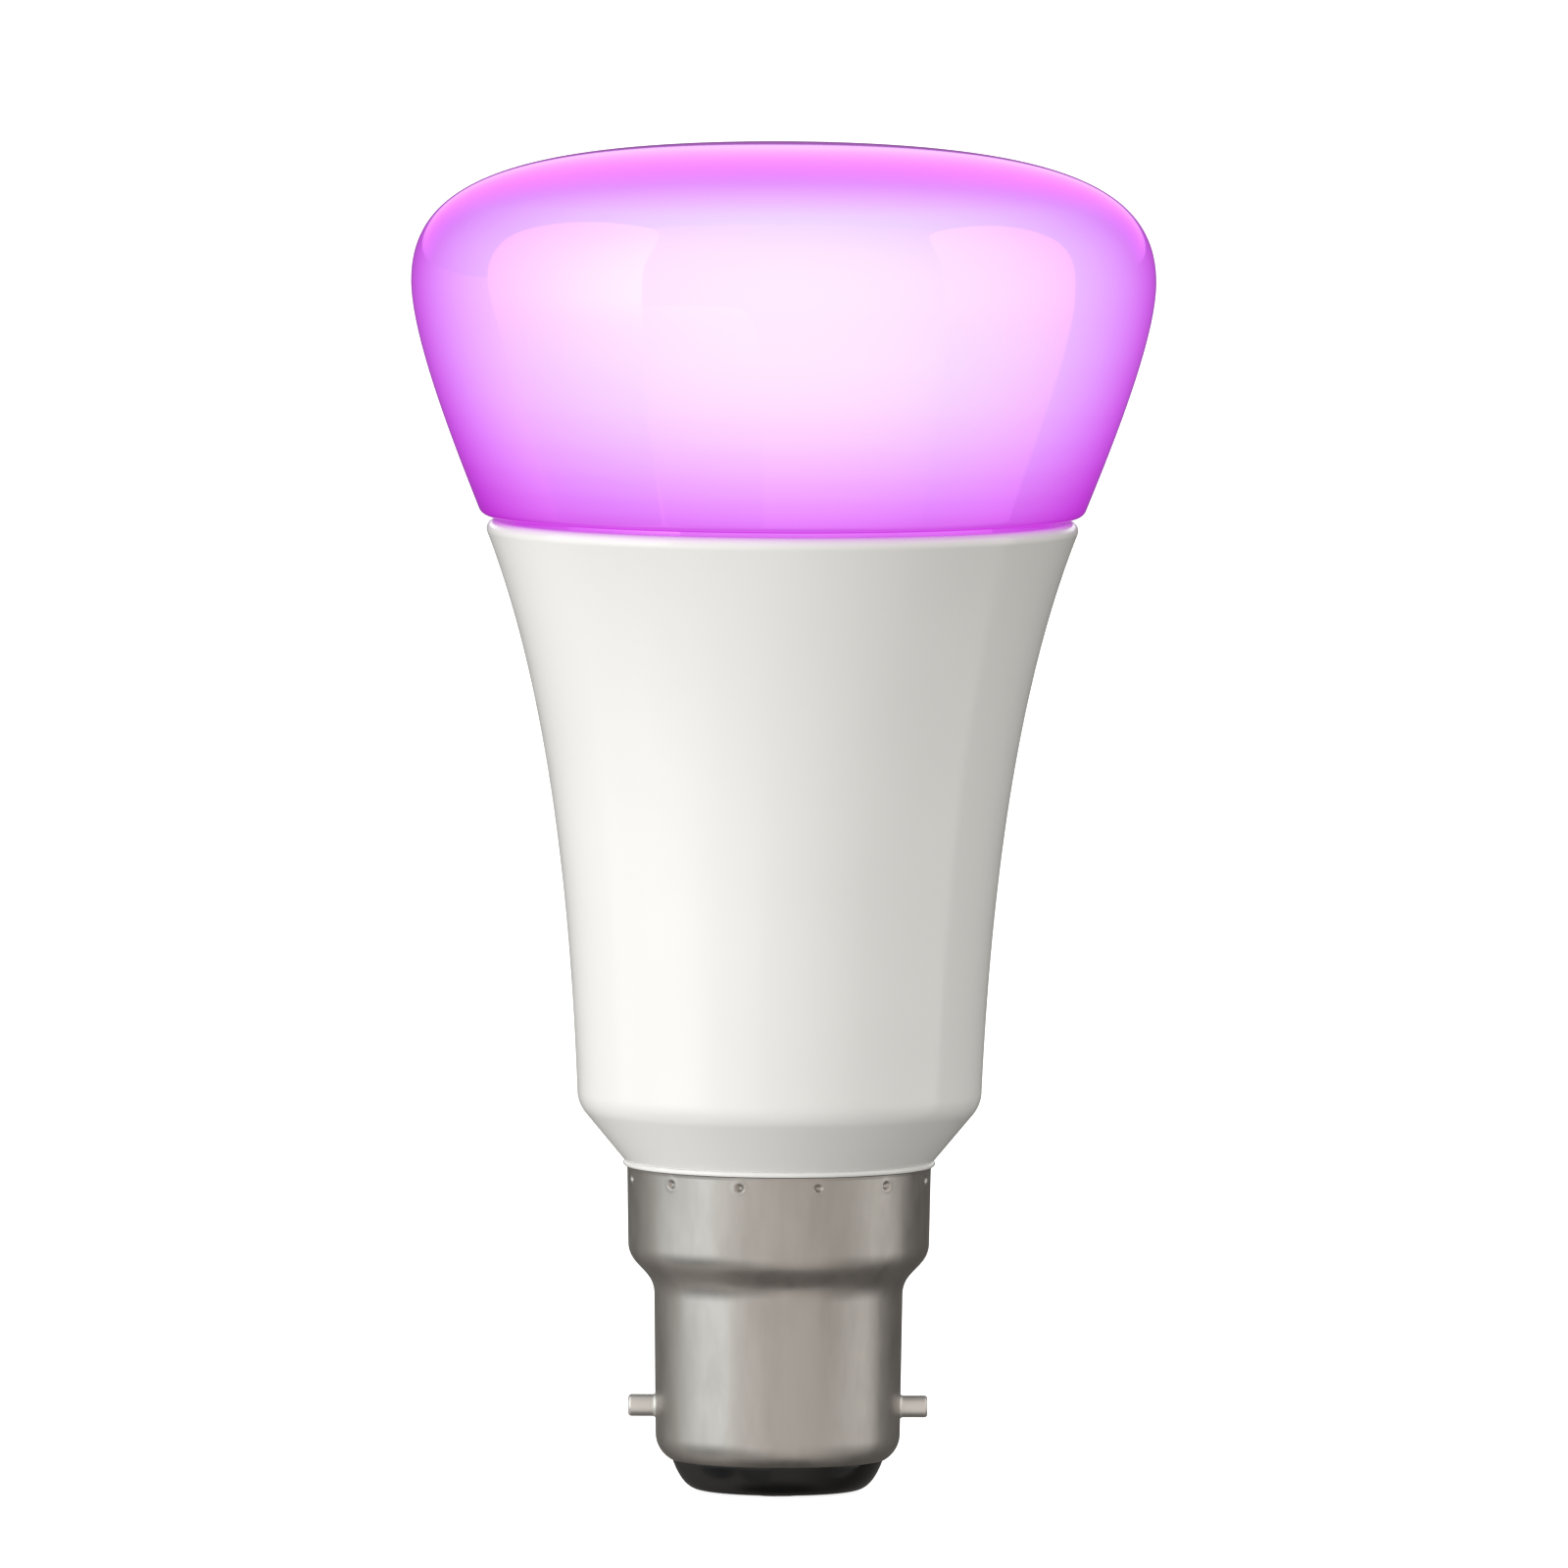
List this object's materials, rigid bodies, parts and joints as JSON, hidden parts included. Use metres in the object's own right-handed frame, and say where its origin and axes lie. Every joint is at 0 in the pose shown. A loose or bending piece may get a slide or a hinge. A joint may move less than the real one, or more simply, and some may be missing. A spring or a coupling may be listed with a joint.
{
  "type": "smart light bulb",
  "caption": "Smart light bulb with a wide flattened glowing diffuser globe on a flared white housing and a metal bayonet cap with side pins and black insulator.",
  "frame": {"origin": "on the lamp's axis, in the plane of the two contacts at the end of the bayonet cap", "axes": "+Z along the axis from the cap to the globe, which is up in the stored pose; the bayonet pins are on X and the contacts on Y"},
  "size_m": [0.0666, 0.0666, 0.1208],
  "materials": {
    "globe_plastic": "smooth gloss, translucent diffusing plastic, lit lilac",
    "housing_plastic": "smooth gloss white",
    "cap_nickel": "satin nickel plate",
    "insulator_black": "glossy black",
    "contact_tin": "tinned brass",
    "solder": "bright solder",
    "wire_brown": "matt brown insulation",
    "wire_blue": "matt blue insulation",
    "seal_rubber": "soft translucent white",
    "spreader_aluminium": "plain drawn",
    "thermal_pad": "soft grey",
    "board_white": "white solder mask on aluminium",
    "led_body": "matt white",
    "lens_white": "clear gloss over yellow phosphor",
    "lens_red": "clear gloss red",
    "lens_green": "clear gloss green",
    "lens_blue": "clear gloss blue",
    "reflector_white": "matt white",
    "screw_steel": "zinc plated",
    "circuit_board": "green solder mask",
    "shield_tin": "tinned steel",
    "chip_black": "matt black mould compound",
    "copper": "bright copper",
    "pin_gold": "gold flash",
    "header_black": "matt black",
    "socket_ivory": "matt ivory",
    "sleeve_plastic": "matt white",
    "capacitor_sleeve": "dark shrink sleeve on aluminium",
    "ferrite": "matt dark grey",
    "winding_tape": "yellow tape",
    "film_box": "gloss red box",
    "varistor_blue": "dipped blue",
    "resistor_green": "lacquered green",
    "smd_tan": "matt tan"
  },
  "bodies": {
    "root": {"diffuser_globe": "globe_plastic", "globe_seal": "seal_rubber", "housing_shell": "housing_plastic", "cap_shell": "cap_nickel", "bayonet_pin_right": "cap_nickel", "bayonet_pin_left": "cap_nickel", "cap_insulator": "insulator_black", "contact_live": "contact_tin", "contact_neutral": "contact_tin", "contact_solder": "solder", "lead_wire_live": "wire_brown", "lead_wire_neutral": "wire_blue", "heat_spreader": "spreader_aluminium", "thermal_pad": "thermal_pad", "led_board": "board_white", "led_packages": "led_body", "led_lenses_white": "lens_white", "led_lenses_red": "lens_red", "led_lenses_green": "lens_green", "led_lenses_blue": "lens_blue", "reflector_plate": "reflector_white", "board_screws": "screw_steel", "radio_board": "circuit_board", "radio_shield_can": "shield_tin", "radio_chips": "chip_black", "radio_antenna": "copper", "radio_shroud": "reflector_white", "board_link_header": "header_black", "board_link_pins": "pin_gold", "driver_sleeve": "sleeve_plastic", "driver_board": "circuit_board", "led_header": "header_black", "led_header_pins": "pin_gold", "led_socket": "socket_ivory", "bulk_capacitor": "capacitor_sleeve", "transformer_core": "ferrite", "transformer_bobbin": "header_black", "transformer_winding": "winding_tape", "inductor_core": "ferrite", "inductor_winding": "copper", "film_capacitor": "film_box", "varistor": "varistor_blue", "fuse_resistor": "resistor_green", "bridge_rectifier": "chip_black", "controller_chips": "chip_black", "output_capacitors": "capacitor_sleeve", "smd_parts": "smd_tan"}
  },
  "joints": []
}
